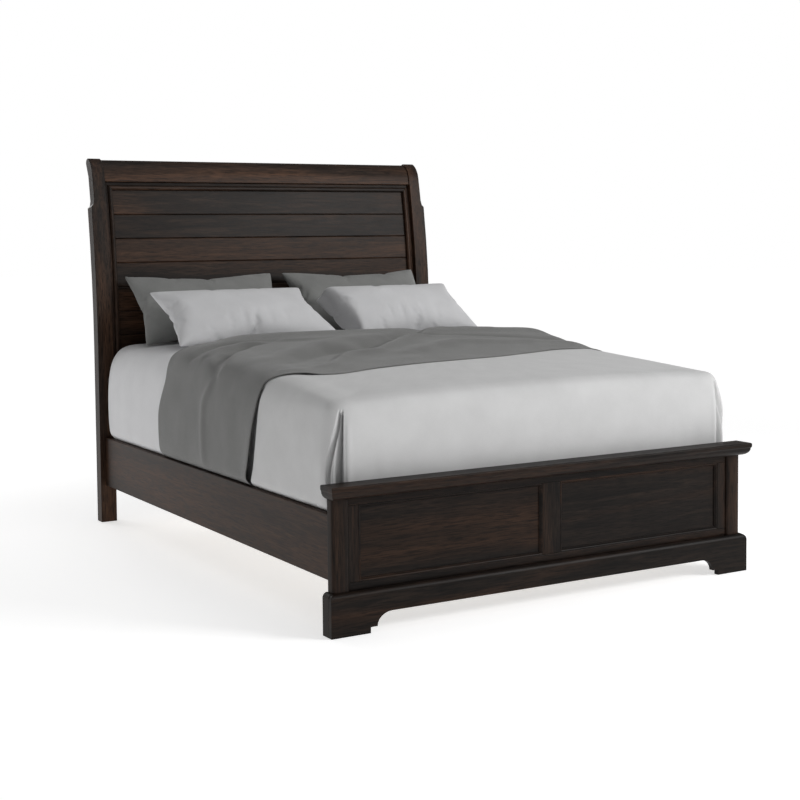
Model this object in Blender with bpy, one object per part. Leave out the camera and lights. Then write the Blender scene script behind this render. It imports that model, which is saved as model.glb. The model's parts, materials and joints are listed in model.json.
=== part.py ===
"""A dressed queen-size sleigh bed, built as its separate pieces.

Metres, +Z up. The origin is at the bottom centre of the whole bed, +X points to the right as seen
from the foot and +Y points to the headboard. Every object is one solid piece. The empties are the
bodies that move: the box spring, the mattress with its bedding, the pillows and the levelling feet.
"""

import math

import bmesh
import bpy
from mathutils import Vector

# ---------------------------------------------------------------- driving dimensions
GAP = 0.0003  # clearance that keeps two touching pieces apart

MATTRESS_WIDTH = 1.524  # queen size
MATTRESS_LENGTH = 2.032
INSIDE_LENGTH = 2.092  # from the footboard's back to the front of the headboard's posts

CAP_WIDTH = 1.708  # the footboard's top cap, the widest piece
CAP_OVERHANG = 0.022  # past the plinth's front
CAP_TOP = 0.467
CAP_HEIGHT = 0.044
PLINTH_WIDTH = 1.700
PLINTH_HEIGHT = 0.1345
PLINTH_DEPTH = 0.058
BOARD_THICKNESS = 0.0197
FRAME_HALF_WIDTH = 0.833  # the outer side of all four posts

HEAD_POST_WIDTH = 0.069
HEAD_POST_DEPTH = 0.054
HEAD_SHOULDER = 0.014  # how far the upper part of a headboard post steps in
LEAN_START = 0.750  # the height where the headboard begins to lean back
LEAN_RADIUS = 4.000
ROLL_START = 1.497  # the height where the lean turns into the top roll
ROLL_RADIUS = 0.095
ROLL_END_ANGLE = math.radians(62)
NOSE_RADIUS = 0.022

RAIL_OUTER_X = 0.810
RAIL_THICKNESS = 0.025
RAIL_BOTTOM = 0.158
RAIL_TOP = 0.367

SLAT_COUNT = 5
SLAT_SIZE = (0.070, 0.019)  # width and thickness
SLAT_TOP = 0.284
LEG_SLATS = (0, 2, 4)  # the slats that stand on a centre leg

BOX_SPRING_HEIGHT = 0.230
MATTRESS_TOP = 0.756

# ---------------------------------------------------------------- places that follow from them
ROLL_START_ANGLE = math.asin((ROLL_START - LEAN_START) / LEAN_RADIUS)


def profile_offsets():
    """How far the roll's centre and the nose's centre lie behind the headboard's front, and their heights."""
    start_y = LEAN_RADIUS * (1 - math.cos(ROLL_START_ANGLE))
    roll_y = start_y + ROLL_RADIUS * math.cos(ROLL_START_ANGLE)
    roll_z = ROLL_START - ROLL_RADIUS * math.sin(ROLL_START_ANGLE)
    nose_y = roll_y - (ROLL_RADIUS - NOSE_RADIUS) * math.cos(ROLL_END_ANGLE)
    nose_z = roll_z + (ROLL_RADIUS - NOSE_RADIUS) * math.sin(ROLL_END_ANGLE)
    return roll_y, roll_z, nose_y, nose_z


ROLL_Y, ROLL_Z, NOSE_Y, NOSE_Z = profile_offsets()
FOOT_BACK_DEPTH = 0.054  # the footboard's back, behind the plinth's front
LENGTH = CAP_OVERHANG + FOOT_BACK_DEPTH + INSIDE_LENGTH + NOSE_Y + NOSE_RADIUS
FRONT_Y = -LENGTH / 2 + CAP_OVERHANG  # the plinth's front face
FOOT_BACK_Y = FRONT_Y + FOOT_BACK_DEPTH
HEAD_Y = FOOT_BACK_Y + INSIDE_LENGTH  # the front of the headboard's posts

CAP_BOTTOM = CAP_TOP - CAP_HEIGHT
RAIL_INNER_X = RAIL_OUTER_X - RAIL_THICKNESS
HEAD_INNER_X = FRAME_HALF_WIDTH - HEAD_POST_WIDTH

MATTRESS_HALF_WIDTH = MATTRESS_WIDTH / 2
MATTRESS_FOOT_Y = FOOT_BACK_Y + 0.026
MATTRESS_HEAD_Y = MATTRESS_FOOT_Y + MATTRESS_LENGTH

# ---------------------------------------------------------------- materials
MATERIALS = {
    "espresso_wood": ((0.030, 0.020, 0.015), 0.42, 0.0),
    "slat_wood": ((0.560, 0.400, 0.240), 0.65, 0.0),
    "zinc_steel": ((0.540, 0.540, 0.540), 0.35, 1.0),
    "black_plastic": ((0.020, 0.020, 0.020), 0.55, 0.0),
    "ticking": ((0.620, 0.610, 0.580), 0.90, 0.0),
    "mattress_knit": ((0.780, 0.770, 0.740), 0.90, 0.0),
    "sheet_cotton": ((0.560, 0.560, 0.570), 0.85, 0.0),
    "coverlet_cotton": ((0.600, 0.600, 0.600), 0.85, 0.0),
    "blanket_weave": ((0.130, 0.130, 0.125), 0.95, 0.0),
    "pillow_dark": ((0.170, 0.175, 0.170), 0.90, 0.0),
    "pillow_light": ((0.600, 0.600, 0.600), 0.85, 0.0),
}


def material(name):
    found = bpy.data.materials.get(name)
    if found:
        return found
    colour, roughness, metallic = MATERIALS[name]
    made = bpy.data.materials.new(name)
    made.use_nodes = True
    shader = made.node_tree.nodes["Principled BSDF"]
    shader.inputs["Base Color"].default_value = (*colour, 1.0)
    shader.inputs["Roughness"].default_value = roughness
    shader.inputs["Metallic"].default_value = metallic
    made.diffuse_color = (*colour, 1.0)
    return made


# ---------------------------------------------------------------- building blocks
def clear_scene():
    for old in list(bpy.data.objects):
        bpy.data.objects.remove(old, do_unlink=True)


def body_empty(name, place, parent=None):
    """An empty that stands for one moving body, at a point on its joint's axis."""
    made = bpy.data.objects.new(name, None)
    made.empty_display_size = 0.1
    made.location = Vector(place) - (world_place(parent) if parent else Vector())
    made.parent = parent
    bpy.context.scene.collection.objects.link(made)
    return made


def world_place(thing):
    place = thing.location.copy()
    while thing.parent:
        thing = thing.parent
        place += thing.location
    return place


def add_piece(name, bm, finish, body, smooth=False):
    """Turns a bmesh in world coordinates into an object whose origin is its own middle."""
    bmesh.ops.recalc_face_normals(bm, faces=bm.faces)
    if bm.calc_volume(signed=True) < 0:
        bmesh.ops.reverse_faces(bm, faces=bm.faces)
    lows = Vector([min(v.co[k] for v in bm.verts) for k in range(3)])
    highs = Vector([max(v.co[k] for v in bm.verts) for k in range(3)])
    middle = (lows + highs) / 2
    bmesh.ops.translate(bm, verts=bm.verts, vec=-middle)
    mesh = bpy.data.meshes.new(name)
    bm.to_mesh(mesh)
    bm.free()
    if smooth:
        mesh.shade_smooth()
        mesh.set_sharp_from_angle(angle=math.radians(40))
    mesh.materials.append(material(finish))
    made = bpy.data.objects.new(name, mesh)
    made.parent = body
    made.location = middle - world_place(body)
    bpy.context.scene.collection.objects.link(made)
    return made


def bevelled(piece, width, segments=1):
    """Eases every sharp edge of a piece."""
    bevel = piece.modifiers.new("eased_edges", "BEVEL")
    bevel.width = width
    bevel.segments = segments
    bevel.limit_method = "ANGLE"
    bevel.angle_limit = math.radians(50)
    return piece


def loft(rings, close_path=False):
    """A bmesh skinned over rings of equal length, with a cap on each end unless the path closes."""
    bm = bmesh.new()
    made = [[bm.verts.new(point) for point in ring] for ring in rings]
    count = len(made[0])
    pairs = list(zip(made, made[1:]))
    if close_path:
        pairs.append((made[-1], made[0]))
    for low, high in pairs:
        for i in range(count):
            j = (i + 1) % count
            bm.faces.new((low[i], low[j], high[j], high[i]))
    if not close_path:
        bm.faces.new(made[0])
        bm.faces.new(made[-1])
    return bm


def box(low, high):
    (x0, y0, z0), (x1, y1, z1) = low, high
    ring = [(x0, y0), (x1, y0), (x1, y1), (x0, y1)]
    return loft([[(x, y, z) for x, y in ring] for z in (z0, z1)])


def extruded_along_x(outline, x0, x1):
    """A closed (y, z) outline stretched from x0 to x1."""
    return loft([[(x, y, z) for y, z in outline] for x in (x0, x1)])


def turned(profile, centre, segments=20):
    """An upright turned solid from (radius, z) points, bottom to top."""
    turns = [2 * math.pi * i / segments for i in range(segments)]
    rings = [
        [(centre[0] + r * math.cos(t), centre[1] + r * math.sin(t), z) for t in turns]
        for r, z in profile
    ]
    return loft(rings)


def hidden_tool(name, bm):
    """A cutter, or a shape that a Boolean joins on, which isn't a piece of its own."""
    bmesh.ops.recalc_face_normals(bm, faces=bm.faces)
    mesh = bpy.data.meshes.new(name)
    bm.to_mesh(mesh)
    bm.free()
    tool = bpy.data.objects.new(name, mesh)
    tool.hide_render = True
    tool.display_type = "WIRE"
    bpy.context.scene.collection.objects.link(tool)
    return tool


def boolean(piece, tool, operation):
    modifier = piece.modifiers.new(tool.name, "BOOLEAN")
    modifier.operation = operation
    modifier.object = tool
    return piece


# ---------------------------------------------------------------- headboard
SIDES = (("left", -1), ("right", 1))

PLANK_COUNT = 9
PLANK_PITCH = 0.105
PLANK_FRONT = 0.026  # behind the posts' front
PLANK_BACK = 0.040
PLANK_GROOVE = 0.0035
PLANKS_BOTTOM = 0.4865
CREST_BOTTOM = 1.4665
CREST_SET_BACK = 0.006
CREST_DEPTH = 0.046
MOULDING_WIDTH = 0.034
LOWER_RAIL_BOTTOM = 0.3565


def on_curve(height, depth):
    """The (y, z) point a given depth behind the posts' front, level with that height on the front."""
    if height <= LEAN_START:
        return HEAD_Y + depth, height
    angle = math.asin((height - LEAN_START) / LEAN_RADIUS)
    radius = LEAN_RADIUS - depth
    return HEAD_Y + LEAN_RADIUS - radius * math.cos(angle), LEAN_START + radius * math.sin(angle)


def on_roll(angle, depth):
    """The (y, z) point on the rolled top, at an angle from the front and a depth under its skin."""
    if angle <= ROLL_END_ANGLE:
        y, z, radius = ROLL_Y, ROLL_Z, ROLL_RADIUS
    else:
        y, z, radius = NOSE_Y, NOSE_Z, NOSE_RADIUS
    return HEAD_Y + y - (radius - depth) * math.cos(angle), z + (radius - depth) * math.sin(angle)


def steps(start, end, count):
    return [start + (end - start) * i / count for i in range(count + 1)]


def headboard_post(side, sign, frame):
    """A post that leans back and rolls over at the top, with a stepped-in shoulder."""
    step_bottom, step_middle, step_top = 1.357, 1.367, 1.388
    heights = [0.0, LEAN_START, 0.90, 1.05, 1.20, step_bottom, step_middle, step_top, 1.44, ROLL_START]
    outer = {step_middle: FRAME_HALF_WIDTH - 0.7 * HEAD_SHOULDER}
    pairs = []
    for height in heights:
        narrow = FRAME_HALF_WIDTH - (HEAD_SHOULDER if height >= step_top else 0.0)
        pairs.append((on_curve(height, 0), on_curve(height, HEAD_POST_DEPTH), outer.get(height, narrow)))
    back_start = on_curve(ROLL_START, HEAD_POST_DEPTH)
    back_end = on_roll(math.pi, 0)
    top_x = FRAME_HALF_WIDTH - HEAD_SHOULDER
    for i, angle in enumerate(steps(ROLL_START_ANGLE, ROLL_END_ANGLE, 5)[1:], start=1):
        back = tuple(a + (b - a) * i / 5 for a, b in zip(back_start, back_end))
        pairs.append((on_roll(angle, 0), back, top_x))
    nose_front = steps(ROLL_END_ANGLE, math.radians(118), 3)[1:]
    nose_back = steps(math.pi, math.radians(124), 3)[1:]
    for front_angle, back_angle in zip(nose_front, nose_back):
        pairs.append((on_roll(front_angle, 0), on_roll(back_angle, 0), top_x))
    rings = [
        [
            (sign * HEAD_INNER_X, *front),
            (sign * outer_x, *front),
            (sign * outer_x, *back),
            (sign * HEAD_INNER_X, *back),
        ]
        for front, back, outer_x in pairs
    ]
    add_piece(f"headboard_post_{side}", loft(rings), "espresso_wood", frame)


def headboard_crest(frame):
    """The rolled top rail between the posts."""
    front = [on_curve(h, CREST_SET_BACK) for h in (CREST_BOTTOM, ROLL_START)]
    front += [on_roll(a, CREST_SET_BACK) for a in steps(ROLL_START_ANGLE, ROLL_END_ANGLE, 5)[1:]]
    front += [on_roll(a, CREST_SET_BACK) for a in steps(ROLL_END_ANGLE, math.pi, 6)[1:]]
    back = [on_curve(h, CREST_DEPTH) for h in (ROLL_START, CREST_BOTTOM)]
    half = HEAD_INNER_X - GAP
    add_piece("headboard_crest", extruded_along_x(front + back, -half, half), "espresso_wood", frame)


def headboard_planks(frame):
    """Horizontal boards with a V groove between each two; the top one runs up behind the moulding."""
    half = HEAD_INNER_X - GAP
    for i in range(PLANK_COUNT):
        low = PLANKS_BOTTOM + PLANK_PITCH * i + GAP / 2
        last = i == PLANK_COUNT - 1
        high = (CREST_BOTTOM - GAP) if last else (low + PLANK_PITCH - GAP)
        outline = [
            on_curve(low, PLANK_BACK),
            on_curve(low, PLANK_FRONT + PLANK_GROOVE),
            on_curve(low + PLANK_GROOVE, PLANK_FRONT),
            on_curve(high - PLANK_GROOVE, PLANK_FRONT),
            on_curve(high, PLANK_FRONT + PLANK_GROOVE),
            on_curve(high, PLANK_BACK),
        ]
        add_piece(f"headboard_plank_{i + 1}", extruded_along_x(outline, -half, half), "espresso_wood", frame)


# The moulding's section: distance in from the post or the crest, and depth behind the posts' front.
MOULDING_SECTION = [
    (0.000, PLANK_FRONT - GAP),
    (0.000, 0.0200),
    (0.013, 0.0190),
    (0.017, 0.0130),
    (0.022, 0.0100),
    (0.028, 0.0100),
    (0.032, 0.0125),
    (MOULDING_WIDTH, 0.0170),
    (MOULDING_WIDTH, PLANK_FRONT - GAP),
]


def headboard_mouldings(frame):
    """The moulding down both sides and along the top of the planks, mitred at the corners."""
    corner = CREST_BOTTOM - GAP
    joints = [PLANKS_BOTTOM + PLANK_PITCH * i for i in range(PLANK_COUNT)]
    for side, sign in SIDES:
        rings = []
        for height in [*joints, None]:
            ring = []
            for inset, depth in MOULDING_SECTION:
                level = corner - inset - GAP if height is None else height
                ring.append((sign * (HEAD_INNER_X - GAP - inset), *on_curve(level, depth)))
            rings.append(ring)
        add_piece(f"headboard_moulding_{side}", loft(rings), "espresso_wood", frame)
    ends = []
    for sign in (-1, 1):
        ring = []
        for inset, depth in MOULDING_SECTION:
            ring.append((sign * (HEAD_INNER_X - 2 * GAP - inset), *on_curve(corner - inset, depth)))
        ends.append(ring)
    add_piece("headboard_moulding_top", loft(ends), "espresso_wood", frame)


def headboard_lower_rail(frame):
    """The rail between the posts, under the planks."""
    half = HEAD_INNER_X - GAP
    low = (-half, HEAD_Y + 0.016, LOWER_RAIL_BOTTOM)
    high = (half, HEAD_Y + 0.044, PLANKS_BOTTOM - GAP)
    bevelled(add_piece("headboard_lower_rail", box(low, high), "espresso_wood", frame), 0.002)


# ---------------------------------------------------------------- footboard
FOOT_POST_WIDTH = 0.060
FOOT_POST_FRONT = 0.020  # behind the plinth's front
FOOT_FRAME_FRONT = 0.030
FOOT_PANEL_FRONT = 0.040
FOOT_STILE_WIDTH = 0.037
FOOT_MULLION_HALF = 0.0365
PANEL_BOTTOM = 0.1575  # the frame's opening, moulding included
PANEL_TOP = 0.3985


def footboard_cap(frame):
    """The top cap: a slab with an eased edge over a quarter-round that turns in to the posts."""
    turn_in = [(1 - math.cos(a), -math.sin(a)) for a in steps(0, math.radians(80), 5)]
    levels = [(0.10, CAP_TOP), (0.0, CAP_TOP - 0.003), (0.0, CAP_TOP - 0.014), (0.08, CAP_TOP - 0.017)]
    levels += [(0.12 + 0.88 * u, CAP_TOP - 0.019 + 0.0245 * v) for u, v in turn_in]
    levels[-1] = (levels[-1][0], CAP_BOTTOM)
    front_inset, side_inset, back_inset = 0.032, 0.022, 0.0035
    half, front, back = CAP_WIDTH / 2, FRONT_Y - CAP_OVERHANG, FRONT_Y + PLINTH_DEPTH
    rings = []
    for share, z in levels:
        x = half - side_inset * share
        y0, y1 = front + front_inset * share, back - back_inset * share
        rings.append([(-x, y0, z), (x, y0, z), (x, y1, z), (-x, y1, z)])
    add_piece("footboard_cap", loft(rings), "espresso_wood", frame)


def footboard_post(side, sign, frame):
    """A square post whose two front edges are rounded."""
    inner, outer = FRAME_HALF_WIDTH - FOOT_POST_WIDTH, FRAME_HALF_WIDTH
    front, back, radius = FRONT_Y + FOOT_POST_FRONT, FOOT_BACK_Y, 0.011
    ring = [(inner, back), (outer, back)]
    for angle in steps(0, math.pi / 2, 4):
        ring.append((outer - radius + radius * math.cos(angle), front + radius - radius * math.sin(angle)))
    for angle in steps(0, math.pi / 2, 4):
        ring.append((inner + radius - radius * math.sin(angle), front + radius - radius * math.cos(angle)))
    rings = [[(sign * x, y, z) for x, y in ring] for z in (0.0, CAP_BOTTOM - GAP)]
    add_piece(f"footboard_post_{side}", loft(rings), "espresso_wood", frame, smooth=True)


def footboard_frame(frame):
    """The rails, stiles and middle mullion around the two panels."""
    front, back = FRONT_Y + FOOT_FRAME_FRONT, FOOT_BACK_Y
    half = FRAME_HALF_WIDTH - FOOT_POST_WIDTH - GAP
    stile_inner = half - FOOT_STILE_WIDTH
    pieces = {
        "footboard_top_rail": (-half, half, PANEL_TOP, CAP_BOTTOM - GAP),
        "footboard_bottom_rail": (-half, half, 0.070, PANEL_BOTTOM),
        "footboard_mullion": (-FOOT_MULLION_HALF, FOOT_MULLION_HALF, PANEL_BOTTOM + GAP, PANEL_TOP - GAP),
        "footboard_stile_left": (-half, -stile_inner, PANEL_BOTTOM + GAP, PANEL_TOP - GAP),
        "footboard_stile_right": (stile_inner, half, PANEL_BOTTOM + GAP, PANEL_TOP - GAP),
    }
    for name, (x0, x1, z0, z1) in pieces.items():
        add_piece(name, box((x0, front, z0), (x1, back, z1)), "espresso_wood", frame)
    return stile_inner


def footboard_panel(side, sign, stile_inner, frame):
    """A flat panel with a stepped moulding round its front."""
    inner, outer = FOOT_MULLION_HALF + GAP, stile_inner - GAP
    low, high = PANEL_BOTTOM + GAP, PANEL_TOP - GAP
    front = FRONT_Y + FOOT_PANEL_FRONT
    x0, x1 = sorted((sign * inner, sign * outer))
    panel = box((x0, front, low), (x1, front + 0.009, high))
    add_piece(f"footboard_panel_{side}", panel, "espresso_wood", frame)
    # inset from the opening's edge, and distance behind the plinth's front
    section = [
        (0.0, FOOT_PANEL_FRONT - GAP),
        (0.0, FOOT_FRAME_FRONT + 0.0010),
        (0.0025, FOOT_FRAME_FRONT + 0.0005),
        (0.0050, FOOT_FRAME_FRONT + 0.0020),
        (0.0075, FOOT_FRAME_FRONT + 0.0055),
        (0.0100, FOOT_FRAME_FRONT + 0.0075),
        (0.0100, FOOT_PANEL_FRONT - GAP),
    ]
    corners = [(x0, low, 1, 1), (x1, low, -1, 1), (x1, high, -1, -1), (x0, high, 1, -1)]
    rings = []
    for x, z, towards_x, towards_z in corners:
        rings.append([(x + towards_x * u, FRONT_Y + depth, z + towards_z * u) for u, depth in section])
    moulding = loft(rings, close_path=True)
    add_piece(f"footboard_panel_moulding_{side}", moulding, "espresso_wood", frame)


FOOT_WIDTH = 0.1375  # a bracket foot, at the floor
FOOT_STEP_HEIGHT = 0.019
FOOT_CUSP_WIDTH = 0.024
FOOT_COVE_WIDTH = 0.053
APRON_BOTTOM = 0.061
PLINTH_ROUND = 0.019


def bracket_outline():
    """The plinth board's lower edge from the right foot to the left one, as (x, z) points."""
    foot_inner = PLINTH_WIDTH / 2 - FOOT_WIDTH
    cusp = foot_inner - FOOT_CUSP_WIDTH
    half = [(foot_inner, 0.0), (foot_inner, FOOT_STEP_HEIGHT), (cusp, FOOT_STEP_HEIGHT)]
    cove_height = APRON_BOTTOM - FOOT_STEP_HEIGHT
    for angle in steps(0, math.pi / 2, 6)[1:]:
        x = cusp - FOOT_COVE_WIDTH * (1 - math.cos(angle))
        half.append((x, FOOT_STEP_HEIGHT + cove_height * math.sin(angle)))
    return half + [(-x, z) for x, z in reversed(half)]


def round_top_edges(bm, radius, chosen):
    """Rounds the edges along the top whose two ends both pass the test."""
    edges = []
    for edge in bm.edges:
        places = [v.co for v in edge.verts]
        if all(abs(place.z - PLINTH_HEIGHT) < 1e-6 for place in places) and chosen(*places):
            edges.append(edge)
    bmesh.ops.bevel(bm, geom=edges, offset=radius, segments=5, profile=0.5, affect="EDGES")


def footboard_plinth(frame):
    """The front board with bracket feet, and the short boards that return it round the posts."""
    half, top = PLINTH_WIDTH / 2, PLINTH_HEIGHT
    outline = [(-half, 0.0), *reversed(bracket_outline()), (half, 0.0), (half, top), (-half, top)]
    board = loft([[(x, y, z) for x, z in outline] for y in (FRONT_Y, FRONT_Y + BOARD_THICKNESS)])

    def front_or_end(a, b):
        along_front = abs(a.y - FRONT_Y) < 1e-6 and abs(b.y - FRONT_Y) < 1e-6
        return along_front or abs(a.x - b.x) < 1e-6

    round_top_edges(board, PLINTH_ROUND, front_or_end)
    add_piece("footboard_plinth", board, "espresso_wood", frame)
    for side, sign in SIDES:
        outer = sign * half
        x0, x1 = sorted((sign * (FRAME_HALF_WIDTH + GAP), outer))
        low = (x0, FRONT_Y + BOARD_THICKNESS + GAP, 0.0)
        high = (x1, FRONT_Y + PLINTH_DEPTH, top)
        piece = box(low, high)

        def outer_edge(a, b):
            return abs(a.x - outer) < 1e-6 and abs(b.x - outer) < 1e-6

        round_top_edges(piece, x1 - x0 - GAP, outer_edge)
        add_piece(f"plinth_return_{side}", piece, "espresso_wood", frame)


# ---------------------------------------------------------------- side rails, slats and legs
CLEAT_SIZE = (0.028, 0.030)  # width and height
BRACKET_LEG = 0.055
BRACKET_THICKNESS = 0.0025
BRACKET_HEIGHTS = (0.175, 0.232)


def side_rail(side, sign, frame):
    x0, x1 = sorted((sign * RAIL_INNER_X, sign * RAIL_OUTER_X))
    y0, y1 = FOOT_BACK_Y + GAP, HEAD_Y - GAP
    rail = add_piece(f"side_rail_{side}", box((x0, y0, RAIL_BOTTOM), (x1, y1, RAIL_TOP)), "espresso_wood", frame)
    bevelled(rail, 0.0025, 2)
    cleat_top = SLAT_TOP - SLAT_SIZE[1] - GAP
    outer = RAIL_INNER_X - GAP
    x0, x1 = sorted((sign * outer, sign * (outer - CLEAT_SIZE[0])))
    low = (x0, FOOT_BACK_Y + 0.075, cleat_top - CLEAT_SIZE[1])
    high = (x1, HEAD_Y - 0.075, cleat_top)
    add_piece(f"slat_cleat_{side}", box(low, high), "slat_wood", frame)


def bolt_head(name, centre, axis):
    """A hexagonal head lying along an axis, to be joined on to a bracket."""
    radius, height, sink = 0.0065, 0.0045, 0.001
    bm = bmesh.new()
    bmesh.ops.create_cone(bm, cap_ends=True, segments=6, radius1=radius, radius2=radius, depth=height + sink)
    turn = Vector((0, 0, 1)).rotation_difference(Vector(axis)).to_matrix()
    bmesh.ops.rotate(bm, verts=bm.verts, cent=(0, 0, 0), matrix=turn)
    middle = Vector(centre) + Vector(axis) * (height - sink) / 2
    bmesh.ops.translate(bm, verts=bm.verts, vec=middle)
    return hidden_tool(name, bm)


def rail_bracket(end, side, sign, frame):
    """A steel angle that holds a side rail to a post, with its four bolt heads."""
    wall_y, towards = (FOOT_BACK_Y + GAP, 1) if end == "foot" else (HEAD_Y - GAP, -1)
    outer = RAIL_INNER_X - GAP
    post_leg = 0.030
    outline = [
        (outer, wall_y),
        (outer, wall_y + towards * BRACKET_LEG),
        (outer - BRACKET_THICKNESS, wall_y + towards * BRACKET_LEG),
        (outer - BRACKET_THICKNESS, wall_y + towards * BRACKET_THICKNESS),
        (outer - post_leg, wall_y + towards * BRACKET_THICKNESS),
        (outer - post_leg, wall_y),
    ]
    rings = [[(sign * x, y, z) for x, y in outline] for z in BRACKET_HEIGHTS]
    name = f"rail_bracket_{end}_{side}"
    bracket = add_piece(name, loft(rings), "zinc_steel", frame)
    low, high = BRACKET_HEIGHTS[0] + 0.013, BRACKET_HEIGHTS[1] - 0.013
    for label, z in (("low", low), ("high", high)):
        rail_side = (sign * (outer - BRACKET_THICKNESS), wall_y + towards * 0.038, z)
        boolean(bracket, bolt_head(f"{name}_rail_bolt_{label}", rail_side, (-sign, 0, 0)), "UNION")
        post_side = (sign * (outer - 0.0205), wall_y + towards * BRACKET_THICKNESS, z)
        boolean(bracket, bolt_head(f"{name}_post_bolt_{label}", post_side, (0, towards, 0)), "UNION")


LEG_SIDE = 0.045
LEG_BOTTOM = 0.030
STEM_RADIUS = 0.0050
BORE_RADIUS = 0.0051
FOOT_PAD_RADIUS = 0.020
STEM_TOP = 0.060
BORE_TOP = 0.085


def slats_and_legs(frame):
    """Slats across the cleats; three of them stand on a leg with an adjustable levelling foot."""
    width, thickness = SLAT_SIZE
    first, last = FOOT_BACK_Y + 0.190, HEAD_Y - 0.190
    reach = RAIL_INNER_X - 2 * GAP
    for i, y in enumerate(steps(first, last, SLAT_COUNT - 1)):
        low = (-reach, y - width / 2, SLAT_TOP - thickness)
        high = (reach, y + width / 2, SLAT_TOP)
        bevelled(add_piece(f"slat_{i + 1}", box(low, high), "slat_wood", frame), 0.002)
        if i not in LEG_SLATS:
            continue
        number = LEG_SLATS.index(i) + 1
        low = (-LEG_SIDE / 2, y - LEG_SIDE / 2, LEG_BOTTOM)
        high = (LEG_SIDE / 2, y + LEG_SIDE / 2, SLAT_TOP - thickness - GAP)
        leg = add_piece(f"support_leg_{number}", box(low, high), "slat_wood", frame)
        bore = [(BORE_RADIUS, LEG_BOTTOM - 0.01), (BORE_RADIUS, BORE_TOP)]
        boolean(leg, hidden_tool(f"leg_bore_{number}", turned(bore, (0, y))), "DIFFERENCE")
        foot_body = body_empty(f"leveller_{number}_slide", (0, y, 0), frame)
        foot = [
            (FOOT_PAD_RADIUS - 0.002, 0.0),
            (FOOT_PAD_RADIUS, 0.002),
            (FOOT_PAD_RADIUS, 0.006),
            (0.012, 0.009),
            (STEM_RADIUS, 0.010),
            (STEM_RADIUS, STEM_TOP),
        ]
        piece = turned(foot, (0, y))
        add_piece(f"leveller_{number}", piece, "black_plastic", foot_body, smooth=True)


# ---------------------------------------------------------------- box spring, mattress and bedding
PLAN_RADIUS = 0.070
TOP_ROUND = 0.045  # the mattress's rounded upper edge
LOW_ROUND = 0.012
BOX_WALL = 0.020  # the box spring and the mattress are open below, which keeps their weight real
MATTRESS_WALL = 0.030
TUCK_Z = 0.345  # the bedding's lower edge, tucked inside the side rails


def plan_ring(grow, z):
    """A rounded rectangle round the mattress, grown outwards, at one height."""
    x = MATTRESS_HALF_WIDTH + grow
    y0, y1 = MATTRESS_FOOT_Y - grow, MATTRESS_HEAD_Y + grow
    radius = PLAN_RADIUS + grow
    centres = [(x - radius, y1 - radius), (radius - x, y1 - radius)]
    centres += [(radius - x, y0 + radius), (x - radius, y0 + radius)]
    ring = []
    for quarter, (cx, cy) in enumerate(centres):
        for angle in steps(quarter * math.pi / 2, (quarter + 1) * math.pi / 2, 5):
            ring.append((cx + radius * math.cos(angle), cy + radius * math.sin(angle), z))
    return ring


def skin_rings(grow, bottom, top, low_round, top_round):
    """Rings up the outside of a block, round its lower edge and over its upper one."""
    rings = []
    if low_round:
        for angle in steps(-math.pi / 2, 0, 3)[:-1]:
            inset = low_round * (1 - math.cos(angle))
            rings.append(plan_ring(grow - inset, bottom + low_round * (1 + math.sin(angle))))
    rings.append(plan_ring(grow, bottom + low_round))
    for angle in steps(0, math.pi / 2, 5):
        inset = top_round * (1 - math.cos(angle))
        rings.append(plan_ring(grow - inset, top - top_round * (1 - math.sin(angle))))
    return rings


def hollow_block(bottom, top, grow, wall, top_round):
    """A rounded block that is open below."""
    outside = skin_rings(grow, bottom, top, LOW_ROUND, top_round)
    inside = skin_rings(grow - wall, bottom, top - wall, 0.0, max(top_round - wall, 0.005))
    return loft(list(reversed(inside)) + outside)


def cover(inner, outer):
    """A sheet over the mattress and down its sides, open below, between two distances from it."""
    outside = skin_rings(outer, TUCK_Z, MATTRESS_TOP + outer, 0.0, TOP_ROUND + outer)
    inside = skin_rings(inner, TUCK_Z, MATTRESS_TOP + inner, 0.0, TOP_ROUND + inner)
    return loft(list(reversed(inside)) + outside)


def cut_off(bm, y, keep):
    """Cuts a cover off at y and closes the cut. keep is +1 for the headboard's side and -1 for the foot's."""
    geometry = bm.verts[:] + bm.edges[:] + bm.faces[:]
    result = bmesh.ops.bisect_plane(
        bm, geom=geometry, dist=1e-7, plane_co=(0, y, 0), plane_no=(0, keep, 0), clear_inner=True
    )
    cut = [item for item in result["geom_cut"] if isinstance(item, bmesh.types.BMEdge)]
    bmesh.ops.edgenet_fill(bm, edges=cut)
    return bm


# each layer's inner and outer face, as distances out from the mattress
SHEET_LAYER = (0.0010, 0.0025)
COVERLET_LAYER = (0.0035, 0.0060)
BLANKET_LAYER = (0.0070, 0.0110)
COVERLET_END_Y = MATTRESS_FOOT_Y + 0.870
BLANKET_Y = (MATTRESS_FOOT_Y + 0.590, MATTRESS_FOOT_Y + 1.430)


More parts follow.
